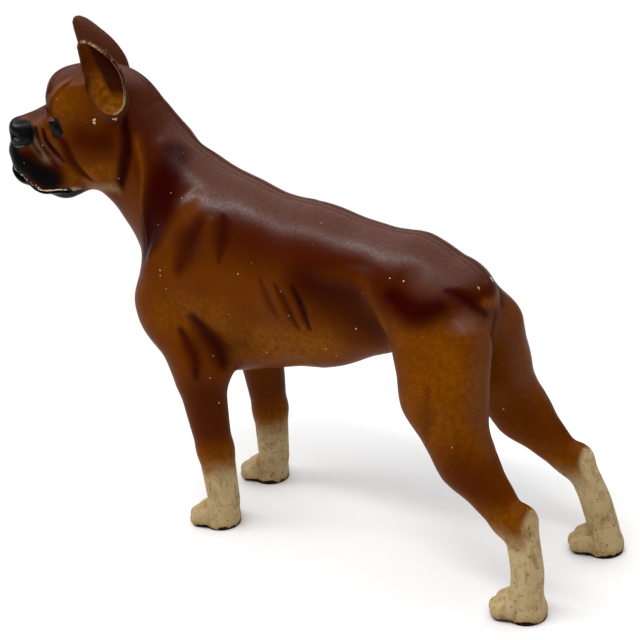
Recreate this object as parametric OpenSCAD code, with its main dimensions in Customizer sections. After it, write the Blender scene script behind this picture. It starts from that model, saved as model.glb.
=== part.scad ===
// Standing dog doorstop: two hollow iron castings that meet along the spine and down the
// middle of the turned head, held together by two slotted screws from the right flank.
// The dog faces -X, its left side is -Y, and it stands on Z = 0.

/* [Stance] */
// Distance from the front feet to the hind feet
stance = 160; // [150:1:172]
// Distance between the two front feet
front_track = 45; // [41:1:50]
// Distance between the two hind feet
hind_track = 59; // [54:1:64]
// How far the right forefoot stands ahead of the left one
front_stagger = 5.6; // [0:0.2:8]
// How far the right hind foot stands behind the left one
hind_stagger = 5; // [0:0.2:8]

/* [Trunk] */
// Height of the withers
withers_height = 154; // [148:1:160]
// Height of the back over the last rib
back_height = 147; // [142:1:151]
// Height of the loin
loin_height = 140; // [136:1:144]
// Height of the croup, in front of the tail
croup_height = 136; // [131:1:140]
// Height of the brisket above the floor
brisket_height = 67; // [63:1:72]
// Height of the belly under the last rib
belly_height = 77; // [73:1:82]
// Height of the tucked-up flank
tuck_height = 93; // [88:1:97]
// Length of the ribcage, from the forelegs to the last rib
ribcage_length = 48; // [42:1:54]
// Width across the ribs
chest_width = 55; // [50:1:62]
// Width across the loin
loin_width = 34; // [30:1:40]
// Width across the croup
croup_width = 38; // [34:1:44]
// How far the breast stands ahead of the forelegs
breast_reach = 47; // [43:1:51]
// How far the rump stands ahead of the hind feet
rump_ahead = 20; // [16:0.5:24]

/* [Neck] */
// Thickness of the neck where it leaves the shoulders
neck_base = 52; // [46:1:56]
// Thickness of the neck behind the jaw
neck_top = 44; // [40:1:48]
// Width of the neck as a share of its thickness
neck_flat = 0.8; // [0.7:0.02:0.9]
// How far the poll stands ahead of the front feet
poll_reach = 40; // [36:1:44]
// How far the head turns to the dog's left, in degrees
head_turn = 40; // [0:1:44]
// Radius of the bend in the neck
neck_bend = 40; // [34:1:60]

/* [Head] */
// Height of the eyes
eye_height = 178; // [174:1:184]
// Height of the skull above the eyes
skull_height = 24; // [21:0.5:27]
// Width of the skull
skull_width = 28; // [25:0.5:32]
// Width over the cheeks
cheek_width = 35; // [31:0.5:39]
// Length of the muzzle, from the eyes to the nose
muzzle_length = 20; // [17:0.5:24]
// Width of the muzzle
muzzle_width = 24; // [21:0.5:28]
// Depth of the muzzle, from its bridge to the chin
muzzle_depth = 34; // [30:0.5:38]
// Height of the ear tips above the eyes
ear_height = 41; // [35:0.5:44]
// Width of an ear at its base
ear_width = 17; // [15:0.5:20]
// Thickness of an ear's leaf
ear_thick = 5; // [4.4:0.2:7]
// Distance between the ear tips
ear_spread = 37; // [33:0.5:42]

/* [Legs] */
// Height of the elbows
elbow_height = 77; // [72:1:82]
// Height of the wrists
wrist_height = 36; // [30:1:42]
// Height of the stifle joints
stifle_height = 59; // [54:1:64]
// Height of the hocks
hock_height = 40; // [36:1:44]
// Thickness of the forearm below the elbow
forearm_width = 23; // [20:0.5:26]
// Thickness of the foreleg at the wrist
wrist_width = 15.5; // [14:0.5:17]
// Thickness of the thigh
thigh_width = 34; // [31:0.5:38]
// Thickness of the hind leg below the hock
hock_width = 13; // [12:0.5:15]
// Length of a paw
paw_length = 25; // [22:0.5:29]
// Width of a paw
paw_width = 18; // [16:0.5:21]
// Height of a paw
paw_height = 12; // [10:0.5:14]

/* [Tail] */
// Length of the docked tail
tail_length = 12; // [9:0.5:16]
// Thickness of the tail at its root
tail_width = 17; // [14:0.5:19]

/* [Casting] */
// Thickness of the iron wall
wall = 4; // [3:0.25:6]
// Size of the facets on the trunk and legs
facet = 4.8; // [4.4:0.1:8]
// Size of the facets on the head and paws
fine_facet = 3; // [2.8:0.1:5]
// Size of the facets inside the hollow
core_facet = 8; // [6:0.5:12]

/* [Screws] */
// Outer diameter of the screw thread
screw_d = 4.2; // [3:0.1:5]
// Diameter of the screw head
screw_head_d = 8; // [6.5:0.1:9.5]
// Height of the screw head
screw_head_h = 3.2; // [2.4:0.1:4]
// Width of the screwdriver slot
slot_w = 1.2; // [0.8:0.1:1.6]
// Depth of the screwdriver slot
slot_depth = 1.5; // [1:0.1:1.8]
// Gap around the screw and its head in the right half
screw_gap = 0.4; // [0.2:0.05:0.8]
// Gap around the thread in the tapped hole of the left half
thread_gap = 0.05; // [0.02:0.01:0.15]
// Depth of thread in the left half
thread_depth = 11; // [8:0.5:14]
// Diameter of a screw post inside the casting
screw_post_d = 15; // [13.5:0.5:18]
// Distance of the front screw's head seat from the joint
front_seat = 19; // [14:0.5:21]
// Distance of the rear screw's head seat from the joint
rear_seat = 10; // [7:0.5:12]
// How far the front screw stands behind the front feet
front_screw_back = 12; // [6:1:24]
// Height of the front screw
front_screw_height = 108; // [100:1:116]
// How far the rear screw stands ahead of the hind feet
rear_screw_ahead = 56; // [50:1:62]
// Height of the rear screw
rear_screw_height = 115; // [111:1:119]

/* [Hidden] */
$fn = 48;
left = -1;
right = 1;
tiny = 1e-6;

// Distances of the lumps ahead of the feet or the legs, and above or below what they hang from
loin_ahead = 60;
croup_ahead = 46;
breast_rise = 24;
turn_rise = 33;
turn_span = 36;
gullet_back = 4.5;
elbow_ahead = 1;
hip_ahead = 48;
hip_drop = 28;
rump_drop = 34;
thigh_ahead = 38.5;
thigh_inside = 10;
thigh_drop = 15;
far = 1000;

// Stations along the straight figure
fore_x = -stance / 2;
hind_x = stance / 2;
leg_x = fore_x + paw_length / 5;
poll_x = fore_x - poll_reach;
eye_x = poll_x - 26;
fore_y = front_track / 2;
hind_y = hind_track / 2;

// Trunk, from its upper and lower outlines
ribs_r = (withers_height - brisket_height) / 2;
ribs = [leg_x + 5, 0, brisket_height + ribs_r];
last_rib_r = (back_height - belly_height) / 2;
last_rib = [leg_x + ribcage_length, 0, belly_height + last_rib_r];
loin_r = (loin_height - tuck_height) / 2;
loin = [hind_x - loin_ahead, 0, tuck_height + loin_r];
croup_r = loin_r - 1.5;
croup = [hind_x - croup_ahead, 0, croup_height - croup_r];
breast_r = 23;
breast = [leg_x - breast_reach + breast_r, 0, brisket_height + breast_rise];

// Neck, from the shoulders to the poll
nape_r = neck_base / 2;
nape = [leg_x + 5, 0, withers_height - nape_r + 1];
throat = [leg_x - 22, 0, withers_height - 13];
gullet_r = neck_top / 2;
gullet = [poll_x + gullet_back, 0, eye_height - 13];
poll_r = gullet_r - 3;
poll = [poll_x, 0, eye_height + 1];
bend_start = leg_x - 21;
bend_length = neck_bend * head_turn * PI / 180;

// Legs, each joint at the side it stands on
shoulder = [leg_x + 5, 13, withers_height - 19];
breast_point = [leg_x - 20, 16, elbow_height + 23];
elbow = [leg_x - elbow_ahead, fore_y - 2.5, elbow_height];
wrist = [leg_x, fore_y - 0.5, wrist_height];
hip = [hind_x - hip_ahead, 12, croup_height - hip_drop];
rump_r = 13;
rump = [hind_x - rump_ahead - rump_r, 13, croup_height - rump_drop];
thigh = [hind_x - thigh_ahead, hind_y - thigh_inside, (croup_height + stifle_height) / 2 - thigh_drop];
stifle = [hind_x - 25.5, hind_y - 4.5, stifle_height];
hock = [hind_x - 7.5, hind_y - 1.5, hock_height];
heel = [hind_x - 2.5, hind_y - 1.5, hock_height + 1.5];
paw_r = paw_width / 2;
paw_rise = paw_height - paw_r;
paw_half = paw_length / 2 - paw_r;

// Head, measured from between the eyes
skull_r = 16.5;
chin_height = eye_height + 4 - muzzle_depth;
nose_x = eye_x - muzzle_length;
lip_z = (eye_height + chin_height) / 2;
ear_base = [eye_x + 22.5, ear_spread / 2 - 5.5, eye_height + 11];
ear_tip_r = 3.2;
ear_tip = [eye_x + 14.5, ear_spread / 2, eye_height + ear_height - ear_tip_r];
ear_flat = ear_thick / (2 * ear_tip_r) * 0.92;

// Middle of the posed figure's box, which is moved to the origin. The box reaches from the
// lips of the turned muzzle to the right hind paw
lip = [nose_x + 2.9, muzzle_width / 2 - 1.4, lip_z];
box_middle = [(bent(lip).x + hind_x + (hind_stagger + paw_length) / 2) / 2,
              (bent([lip.x, -lip.y, lip_z]).y + hind_y + paw_r) / 2, 0];

// A lump is a stick of clay from a to b with end radii ra and rb, pressed flat sideways,
// and k is the width over which it is smoothed into the clay before it
function lump(a, ra, b, rb, flat, k) = [a, ra, b, rb, flat, k];
function ball(a, r, flat, k) = [a, r, a, r, flat, k];
function paw(x, y) =
    lump([x - paw_half, y, paw_rise], paw_r - 0.4, [x + paw_half, y, paw_rise], paw_r, 1, 4);

// Lumps that are hollow inside: ribs, belly, croup, breast, neck and skull
hollow_lumps = [
    lump(ribs, ribs_r, last_rib, last_rib_r, chest_width / (2 * ribs_r), 4),
    lump(last_rib, last_rib_r, loin, loin_r, loin_width / (2 * loin_r), 4),
    lump(loin, loin_r, croup, croup_r, croup_width / (2 * croup_r), 4),
    lump(breast, breast_r, breast + [2, 0, 21], breast_r - 3, 0.92, 8),
    lump(nape, nape_r - 0.5, throat, nape_r, neck_flat, 5),
    lump(throat, nape_r, gullet, gullet_r, neck_flat, 4),
    lump(gullet, gullet_r, poll, poll_r, neck_flat, 4),
    lump([eye_x + 22, 0, eye_height + skull_height - skull_r - 1.5], skull_r,
         [eye_x + 13, 0, eye_height + skull_height - skull_r], skull_r, skull_width / (2 * skull_r), 5),
];

// Lumps that are solid iron: shoulders, legs, paws, tail, face and ears
solid_lumps = [
    lump(shoulder, 11, breast_point, 14.5, 0.75, 8),
    lump(breast_point + [-2, -3, 16], 12, breast_point + [-2, -2, -8], 13, 1, 10),
    lump(breast_point - [0, 0, 1], 14, elbow + [2, -1, 0], forearm_width / 2 + 1, 0.8, 6),
    lump(elbow + [-1, 0.5, 1], forearm_width / 2, wrist, wrist_width / 2, 0.95, 6),
    lump(wrist, wrist_width / 2, [leg_x, fore_y, paw_height], wrist_width / 2 - 0.4, 1, 3),
    paw(fore_x, fore_y),
    lump(hip, thigh_width / 2, thigh, thigh_width / 2, 0.75, 7),
    lump(rump, rump_r, [rump.x, thigh.y - 1, thigh.z], rump_r, 0.8, 6),
    lump(thigh, thigh_width / 2, stifle, thigh_width / 2 - 4.5, 0.75, 4),
    lump(stifle, thigh_width / 2 - 5, hock, hock_width / 2 + 0.5, 0.85, 4),
    lump(hock, hock_width / 2 + 0.5, heel, hock_width / 2 - 0.9, 0.85, 3),
    lump(heel - [0, 0, 2], hock_width / 2, [hind_x + 3, hind_y, paw_height], hock_width / 2, 0.95, 4),
    paw(hind_x, hind_y),
    lump(croup + [4, 0, 9], tail_width / 2, croup + [4 + tail_length, 0, 5], tail_width / 4, 1, 4),
    ball([eye_x + 7, skull_width / 4 - 1, eye_height + 13], 8.3, 0.95, 5),
    ball([eye_x + 15, cheek_width / 2 - 9.5, eye_height - 12], 13, 0.75, 7),
    lump([eye_x, 0, eye_height - 8], 12, [nose_x + 10.5, 0, eye_height - 6.5], 11.2,
         muzzle_width / 23, 5),
    lump([nose_x + 10, muzzle_width / 4, lip_z + 2.5], 8.6,
         [nose_x + 16, muzzle_width / 4 + 1.5, lip_z - 1.5], 8.8, 0.85, 4),
    lump([nose_x + 8.5, 0, chin_height + 9], 8.6, [eye_x + 3, 0, chin_height + 7.5], 9.5, 1.1, 4),
    ball([nose_x + 6, 0, eye_height - 2], 6, 1.25, 3),
    lump(ear_base, ear_width / 2, ear_tip, ear_tip_r, ear_flat, 3),
];

// Lumps pressed into the clay: the hollow of an ear
scoops = [
    lump(ear_base + [0, 8.5, 0], ear_width / 2 - 2.4, ear_tip + [2, 5, -6.5], ear_tip_r - 1, 0.7, 1.5),
];

// Signed distance to the clay, and its smooth unions and cuts
function weld(d, e, k) = min(d, e) - pow(max(k - abs(d - e), 0), 2) / (4 * k);
function gap(p, l) =
    let (ab = l[2] - l[0],
         t = max(0, min(1, ((p - l[0]) * ab) / (ab * ab + tiny))),
         q = p - l[0] - t * ab)
    norm([q.x, q.y / l[4], q.z]) - l[1] - t * (l[3] - l[1]);
function heap(p, ls, i = 0, d = far) =
    i == len(ls) ? d : heap(p, ls, i + 1, weld(d, gap(p, ls[i]), ls[i][5]));
function carve(p, ls, d, i = 0) =
    i == len(ls) ? d : carve(p, ls, -weld(-d, gap(p, ls[i]), ls[i][5]), i + 1);
function field(p, near) =
    let (q = [p.x, abs(p.y), p.z])
    carve(q, near[1], heap(q, near[0])) + near[2];

// Extent of a list of lumps along axis c, and the lumps close to a value on it
function low(l, c) = min(l[0][c] - l[1], l[2][c] - l[3]);
function high(l, c) = max(l[0][c] + l[1], l[2][c] + l[3]);
function close_to(ls, c, at) =
    [for (l = ls) if (low(l, c) - l[5] - facet < at && high(l, c) + l[5] + facet > at) l];

// Even steps from lo up to, but without, hi
function steps(lo, hi, step) =
    let (n = max(1, round((hi - lo) / step)))
    [for (i = [0 : n - 1]) lo + (hi - lo) * i / n];

// Grid lines. The first line across and the first line up are doubled, which caps the
// clay flat: at the joint face, or past it for a core, and on the floor
function grid(lumps, past, coarse, fine) =
    let (lo = [for (c = [0 : 2]) min([for (l = lumps) low(l, c)]) - fine],
         hi = [for (c = [0 : 2]) max([for (l = lumps) high(l, c)]) + fine])
    [concat(steps(lo.x, poll_x + 10, fine), steps(poll_x + 10, hi.x, coarse), [hi.x]),
     concat([-past, -past], steps(fine * 0.6, muzzle_width + 3, fine),
            steps(muzzle_width + 3, hi.y, coarse), [hi.y]),
     concat([0], steps(0, paw_height + 4, fine), steps(paw_height + 4, chin_height - 4, coarse),
            steps(chin_height - 4, hi.z, fine), [hi.z])];

// Skin of the clay at a depth below its surface, as [points, triangles] of one side.
// One point stands in each grid cell that the surface passes through
function skin(lumps, cuts, depth, past, coarse, fine) =
    let (g = grid(lumps, past, coarse, fine),
         nx = len(g.x) - 1,
         ny = len(g.y) - 1,
         nz = len(g.z) - 1,
         near = [for (x = g.x)
             let (lx = close_to(lumps, 0, x), cx = close_to(cuts, 0, x))
             [for (z = g.z) [close_to(lx, 2, z), close_to(cx, 2, z), depth]]],
         raw = [for (i = [0 : nx]) [for (k = [0 : nz]) [for (j = [0 : ny])
             j == 0 || k == 0 ? 1 : field([g.x[i], g.y[j], g.z[k]], near[i][k])]]],
         val = [for (i = [0 : nx]) [for (k = [0 : nz]) [for (j = [0 : ny])
             let (edge = min(i, j, k, nx - i, ny - j, nz - k) == 0)
             !edge && pinched(raw, i, j, k) ? -tiny : raw[i][k][j]]]],
         crossed = [for (i = [0 : nx - 1]) for (k = [0 : nz - 1]) for (j = [0 : ny - 1])
             let (n = len([for (v = corners(val, i, j, k)) if (v < 0) v]))
             n > 0 && n < 8 ? 1 : 0],
         ids = [for (c = 0, n = 0; c < len(crossed); n = n + crossed[c], c = c + 1) n],
         at = function (i, j, k) (i * nz + k) * ny + j,
         points = [for (i = [0 : nx - 1]) for (k = [0 : nz - 1]) for (j = [0 : ny - 1])
             if (crossed[at(i, j, k)] == 1)
                 cell_point([i, j, k], g, corners(val, i, j, k), near[i][k])],
         id = function (i, j, k) ids[at(i, j, k)],
         faces = [
             for (i = [0 : nx - 1]) for (k = [1 : nz - 1]) for (j = [1 : ny - 1])
                 each wall_at(val[i][k][j], val[i + 1][k][j], points,
                     [id(i, j - 1, k - 1), id(i, j, k - 1), id(i, j, k), id(i, j - 1, k)]),
             for (i = [1 : nx - 1]) for (k = [1 : nz - 1]) for (j = [0 : ny - 1])
                 each wall_at(val[i][k][j], val[i][k][j + 1], points,
                     [id(i - 1, j, k - 1), id(i - 1, j, k), id(i, j, k), id(i, j, k - 1)]),
             for (i = [1 : nx - 1]) for (k = [0 : nz - 1]) for (j = [1 : ny - 1])
                 each wall_at(val[i][k][j], val[i][k + 1][j], points,
                     [id(i - 1, j - 1, k), id(i, j - 1, k), id(i, j, k), id(i - 1, j, k)])])
    [points, faces];

// Whether the clay on two sides of an outer corner meets across a grid square, edge to edge.
// Such a corner is filled, so that the skin never touches itself
function pinched(val, i, j, k) =
    val[i][k][j] < 0 || val[i][k][j] > facet ? false :
    let (outer = function (a, b, c) val[i + a][k + c][j + b] >= 0)
    len([for (a = [-1, 1]) for (b = [-1, 1])
        if (outer(a, b, 0) && !outer(a, 0, 0) && !outer(0, b, 0)
            || outer(a, 0, b) && !outer(a, 0, 0) && !outer(0, 0, b)
            || outer(0, a, b) && !outer(0, a, 0) && !outer(0, 0, b)) 1]) > 0;

// Field values at the eight corners of a cell
function corners(val, i, j, k) =
    [for (a = [0, 1]) for (b = [0, 1]) for (c = [0, 1]) val[i + a][k + b][j + c]];

// Two triangles across a grid edge whose ends lie on either side of the surface
function wall_at(a, b, points, q) =
    (a < 0) == (b < 0) ? [] :
    let (r = a < 0 ? [q[3], q[2], q[1], q[0]] : q,
         across = norm(points[r[0]] - points[r[2]]) < norm(points[r[1]] - points[r[3]]))
    across ? [[r[0], r[1], r[2]], [r[0], r[2], r[3]]] : [[r[0], r[1], r[3]], [r[1], r[2], r[3]]];

// Pairs of corners that share a cell edge
cell_edges = [[0, 1], [2, 3], [4, 5], [6, 7], [0, 2], [1, 3], [4, 6], [5, 7],
              [0, 4], [1, 5], [2, 6], [3, 7]];

// The surface point of one cell: the mean of its edge crossings, drawn onto the surface
function cell_point(cell, g, v, near) =
    let (at = [for (a = [0, 1]) for (b = [0, 1]) for (c = [0, 1])
             [g.x[cell.x + a], g.y[cell.y + c], g.z[cell.z + b]]],
         hits = [for (e = cell_edges)
             let (p = v[e[0]], q = v[e[1]])
             if ((p < 0) != (q < 0)) at[e[0]] + (at[e[1]] - at[e[0]]) * p / (p - q)],
         mean = [for (c = [0 : 2]) [for (h = hits) h[c]] * [for (h = hits) 1]] / len(hits),
         free = [1, cell.y == 0 ? 0 : 1, cell.z == 0 ? 0 : 1],
         start = [mean.x, free.y == 0 ? g.y[0] : mean.y, free.z == 0 ? 0 : mean.z],
         inside_cap = len([for (n = [0 : 7]) if (v[n] < 0) n]) == 4 && free.y * free.z == 0
             && flat_cap(v, free))
    inside_cap ? start : settle(settle(start, free, near, at), free, near, at);

// Whether the surface fills the whole of a capped cell
function flat_cap(v, free) =
    free.y == 0 ? max(v[1], v[3], v[5], v[7]) < 0 : max(v[2], v[3], v[6], v[7]) < 0;

// One step towards the surface, along the free axes and inside the cell
function settle(p, free, near, at) =
    let (h = 0.05,
         d = field(p, near),
         slope = [free.x * (field(p + [h, 0, 0], near) - d) / h,
                  free.y * (field(p + [0, h, 0], near) - d) / h,
                  free.z * (field(p + [0, 0, h], near) - d) / h],
         q = p - slope * d / max(slope * slope, h))
    [for (c = [0 : 2]) max(at[0][c], min(at[7][c], q[c]))];

// Pose: the feet take their stagger, and the neck bends to the left above the breast
function ease(t) = let (c = max(0, min(1, t))) c * c * (3 - 2 * c);
function stride(p) =
    let (low = 1 - ease(p.z / (brisket_height - 5)), side = sign(p.y),
         step = p.x < 0 ? -front_stagger / 2 : hind_stagger / 2)
    [p.x + side * step * low, p.y, p.z];
function bent(p) =
    p.x >= bend_start ? p :
    let (turned = min(bend_start - p.x, bend_length),
         angle = turned / neck_bend * 180 / PI,
         ahead = bend_start - p.x - turned,
         r = neck_bend + p.y,
         share = ease((p.z - brisket_height - turn_rise) / turn_span),
         end = [bend_start - r * sin(angle) - ahead * cos(angle),
                -neck_bend + r * cos(angle) - ahead * sin(angle), p.z])
    p + share * (end - p);
function posed(p, side) = bent(stride([p.x, side * p.y, p.z])) - box_middle;

// A skin as a solid on one side of the joint
module clay(side, mesh) {
    polyhedron([for (p = mesh[0]) posed(p, side)],
               side < 0 ? [for (f = mesh[1]) [f[2], f[1], f[0]]] : mesh[1]);
}

// A round bar along Y between two distances from the joint
module bar(at, d, from, to) {
    translate([at.x, from, at.y] - box_middle)
        rotate([-90, 0, 0])
            cylinder(d = d, h = to - from);
}

// Screws, each at [x, z] in the joint face, with its head seat's distance from the joint
front_screw_at = [fore_x + front_screw_back, front_screw_height];
rear_screw_at = [hind_x - rear_screw_ahead, rear_screw_height];
screw_places = [[front_screw_at, front_seat], [rear_screw_at, rear_seat]];
reach = chest_width;
core_past = 2;

// One side of the figure as it comes from the mould, one mesh of skin less core: the core
// leaves a post of iron standing around each screw
module casting(side) {
    resize([0, 0, 0])
        difference() {
            clay(side, skin(concat(hollow_lumps, solid_lumps), scoops, 0, 0, facet, fine_facet));
            difference() {
                clay(side, skin(hollow_lumps, [], wall, core_past, core_facet, core_facet));
                for (s = screw_places)
                    bar(s[0], screw_post_d, -reach, reach);
            }
        }
}

module left_half() {
    color("saddlebrown")
        difference() {
            casting(left);
            for (s = screw_places)
                bar(s[0], screw_d + 2 * thread_gap, -thread_depth - screw_gap, core_past);
        }
}

module right_half() {
    color("sienna")
        difference() {
            casting(right);
            for (s = screw_places) {
                bar(s[0], screw_d + 2 * screw_gap, -core_past, s[1] + core_past);
                bar(s[0], screw_head_d + 2 * screw_gap, s[1], reach);
            }
        }
}

// A slotted round-head screw, head seated in the right half, tip in the left
module screw(place) {
    seat = place[1];
    root = (screw_head_h - slot_depth) / 2;
    dome_r = (pow(screw_head_d / 2, 2) + pow(screw_head_h, 2)) / (2 * screw_head_h);
    color("dimgray")
        difference() {
            union() {
                bar(place[0], screw_d, -thread_depth, seat + root);
                intersection() {
                    bar(place[0], screw_head_d, seat, seat + screw_head_h);
                    translate([place[0].x, seat + screw_head_h - dome_r, place[0].y] - box_middle)
                        sphere(r = dome_r);
                }
            }
            translate([place[0].x, seat + screw_head_h, place[0].y] - box_middle)
                cube([screw_head_d + 2, 2 * slot_depth, slot_w], center = true);
        }
}

module front_screw() { screw(screw_places[0]); }
module rear_screw() { screw(screw_places[1]); }

left_half();
right_half();
front_screw();
rear_screw();
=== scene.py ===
# %% [markdown]
# # A painted iron doorstop: a standing dog
# The real object is two hollow iron castings, screwed together along the spine, primed and sprayed
# with enamel. Its form began as a clay or wax pattern, so this lesson works the same way: lumps of
# clay are laid down, fused into one fine skin, worked with a modelling tool, cut along the joint,
# and sprayed. All of it sits in the frame of the packed part, in metres, with the dog facing -X.

# %% Load the packed part
import math

import bpy
import numpy as np
from mathutils import Matrix, Vector


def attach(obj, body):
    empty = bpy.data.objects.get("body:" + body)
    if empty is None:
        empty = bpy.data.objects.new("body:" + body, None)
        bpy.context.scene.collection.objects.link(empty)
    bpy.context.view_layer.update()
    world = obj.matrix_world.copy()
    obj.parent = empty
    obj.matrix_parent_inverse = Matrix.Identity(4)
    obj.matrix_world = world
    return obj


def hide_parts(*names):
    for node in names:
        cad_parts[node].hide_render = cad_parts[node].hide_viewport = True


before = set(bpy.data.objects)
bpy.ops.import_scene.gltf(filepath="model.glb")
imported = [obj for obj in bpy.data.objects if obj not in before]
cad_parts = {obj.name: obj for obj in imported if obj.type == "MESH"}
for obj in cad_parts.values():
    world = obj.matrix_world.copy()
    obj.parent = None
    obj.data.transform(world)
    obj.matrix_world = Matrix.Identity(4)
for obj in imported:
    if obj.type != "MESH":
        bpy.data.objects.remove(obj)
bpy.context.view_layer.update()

MM = 0.001

# %% [markdown]
# ## Camera
# The photograph looks at the dog's left side from behind and above, with a long lens. The camera is
# placed by its azimuth, height angle and distance from a point in the middle of the dog, and it is
# rolled a little, because the photograph is. It could be placed by eye in the viewport, but angles
# are easier to compare with the photograph and to correct.

# %% Camera at the photograph's view
azimuth = math.radians(36.1)
height_angle = math.radians(22.04)
camera_roll = math.radians(-5)
distance = 0.7
aim = Vector((0.0038, 0.0021, 0.0959))
photo_width_px = 640
focal_px = 1677.6
sensor_width_mm = 36
nearest_seen = 0.01

backward = Vector((math.sin(azimuth) * math.cos(height_angle),
                   -math.cos(azimuth) * math.cos(height_angle),
                   math.sin(height_angle)))
level = Vector((math.cos(azimuth), math.sin(azimuth), 0))
upward = backward.cross(level)
camera_x = level * math.cos(camera_roll) + upward * math.sin(camera_roll)
camera_y = upward * math.cos(camera_roll) - level * math.sin(camera_roll)

bpy.ops.object.camera_add()
camera = bpy.context.object
camera.name = "photo_camera"
turn = Matrix((camera_x, camera_y, backward)).transposed().to_4x4()
camera.matrix_world = Matrix.Translation(aim + backward * distance) @ turn
camera.data.sensor_width = sensor_width_mm
camera.data.lens = focal_px / photo_width_px * sensor_width_mm
camera.data.clip_start = nearest_seen
bpy.context.scene.camera = camera
print("camera at", [round(c, 3) for c in camera.location], "lens", round(camera.data.lens, 1))

# %% [markdown]
# ## Light and floor
# The photograph was taken under a large soft light overhead, on white. Its sheen lies on the back and
# the neck crest, and the near side is darker. Several small lamps could be tried, but two area lamps
# give it: a wide panel hangs above and beyond the dog, and a strip lamp just under the panel's near
# side brightens the lower edge of the sheen. Both shine straight down, and a weak sky fills in.

# %% Studio light
sky_colour, sky_strength = (0.9, 0.95, 1, 1), 0.08
scene = bpy.context.scene
scene.view_settings.view_transform = "Standard"
world = bpy.data.worlds.new("studio")
scene.world = world
world.use_nodes = True
sky = world.node_tree.nodes["Background"].inputs
sky["Color"].default_value = sky_colour
sky["Strength"].default_value = sky_strength


def soft_box(name, place, size, watts):
    bpy.ops.object.light_add(type="AREA", location=place)
    lamp = bpy.context.object
    lamp.name = name
    lamp.data.shape = "RECTANGLE"
    lamp.data.size, lamp.data.size_y = size
    lamp.data.energy = watts
    print(name, "of", watts, "W at", place)


soft_box("overhead_panel", (-0.5, 0.55, 1.2), (3.0, 2.9), 43)
soft_box("strip_lamp", (-0.6, -0.55, 1.19), (2.6, 0.16), 15)

# %% [markdown]
# A material is a tree of nodes, which are dragged out and wired one by one when it is made by hand. The
# helper below adds a node and links it in one call, so that a material reads as a list of its layers.

# %% Node helpers
class Nodes:
    """Adds nodes to one tree and links them."""

    def __init__(self, tree):
        self.tree = tree

    def add(self, kind, **settings):
        node = self.tree.nodes.new(kind)
        for name, value in settings.items():
            setattr(node, name, value)
        return node

    def put(self, socket, value):
        if isinstance(value, bpy.types.NodeSocket):
            self.tree.links.new(value, socket)
        else:
            socket.default_value = value

    def math(self, operation, a, b=0.0, clamp=False):
        node = self.add("ShaderNodeMath", operation=operation, use_clamp=clamp)
        self.put(node.inputs[0], a)
        self.put(node.inputs[1], b)
        return node.outputs[0]

    def times(self, a, b, clamp=False):
        return self.math("MULTIPLY", a, b, clamp)

    def plus(self, a, b, clamp=False):
        return self.math("ADD", a, b, clamp)

    def mix(self, share, a, b):
        node = self.add("ShaderNodeMix", data_type="RGBA")
        self.put(node.inputs["Factor"], share)
        self.put(node.inputs[6], a)
        self.put(node.inputs[7], b)
        return node.outputs[2]

    def noise(self, vector, scale, detail=2.0, roughness=0.5):
        node = self.add("ShaderNodeTexNoise")
        self.put(node.inputs["Vector"], vector)
        self.put(node.inputs["Scale"], scale)
        self.put(node.inputs["Detail"], detail)
        self.put(node.inputs["Roughness"], roughness)
        return node.outputs["Fac"]

    def step(self, value, low, high):
        node = self.add("ShaderNodeMapRange", interpolation_type="SMOOTHSTEP")
        self.put(node.inputs["Value"], value)
        self.put(node.inputs["From Min"], low)
        self.put(node.inputs["From Max"], high)
        return node.outputs["Result"]

    def attribute(self, name):
        return self.add("ShaderNodeAttribute", attribute_name=name).outputs["Fac"]


def new_material(name):
    material = bpy.data.materials.new(name)
    material.use_nodes = True
    return material, Nodes(material.node_tree), material.node_tree.nodes["Principled BSDF"]


print("node helpers:", ", ".join(name for name in vars(Nodes) if not name.startswith("_")))

# %% [markdown]
# The floor is white paper. A plain white plane would go grey towards the edges of the picture, and a
# curved backdrop shows its bend from other sides. So the plane is matt and takes the dog's shadow, and
# further out it blends into an even white glow, for rays that the camera sees.

# %% White floor
floor_size = 40
glow_from, glow_full = 0.12, 0.26


def white_floor():
    material, n, shader = new_material("floor_white")
    shader.inputs["Base Color"].default_value = (0.9, 0.9, 0.9, 1)
    shader.inputs["Roughness"].default_value = 0.8
    path = n.add("ShaderNodeLightPath").outputs
    mirrored = n.math("MAXIMUM", path["Is Glossy Ray"], path["Is Transmission Ray"])
    seen = n.math("MAXIMUM", path["Is Camera Ray"], mirrored)
    reach = n.add("ShaderNodeVectorMath", operation="LENGTH")
    n.put(reach.inputs[0], n.add("ShaderNodeTexCoord").outputs["Object"])
    paper = n.add("ShaderNodeEmission")
    blend = n.add("ShaderNodeMixShader")
    far_out = n.step(reach.outputs["Value"], glow_from, glow_full)
    n.put(blend.inputs["Fac"], n.times(seen, far_out))
    n.put(blend.inputs[1], shader.outputs["BSDF"])
    n.put(blend.inputs[2], paper.outputs["Emission"])
    n.put(material.node_tree.nodes["Material Output"].inputs["Surface"], blend.outputs["Shader"])
    return material


bpy.ops.mesh.primitive_plane_add(size=floor_size)
floor = bpy.context.object
floor.name = "floor"
floor.data.materials.append(white_floor())
print("floor of", floor_size, "m, all white from", glow_full, "m out")

# %% [markdown]
# ## Clay lumps
# The pattern is modelled straight, facing -X, and on its right side only, in millimetres. The other
# side is its mirror image, and the turn of the head comes last, as when an armature is bent. A lump
# runs from point a to point b with a radius at each end, is pressed flat sideways, and is smoothed
# into the clay before it over a width of weld. These are the same lumps that the castings were
# designed from, with the finer forms of the face, ears and paws added.

# %% Trunk and neck
lumps = []


def lump(a, ra, b, rb, flat=1.0, weld=4.0):
    lumps.append(([(np.array(a, float), ra, np.array(b, float), rb)], flat, weld))


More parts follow.
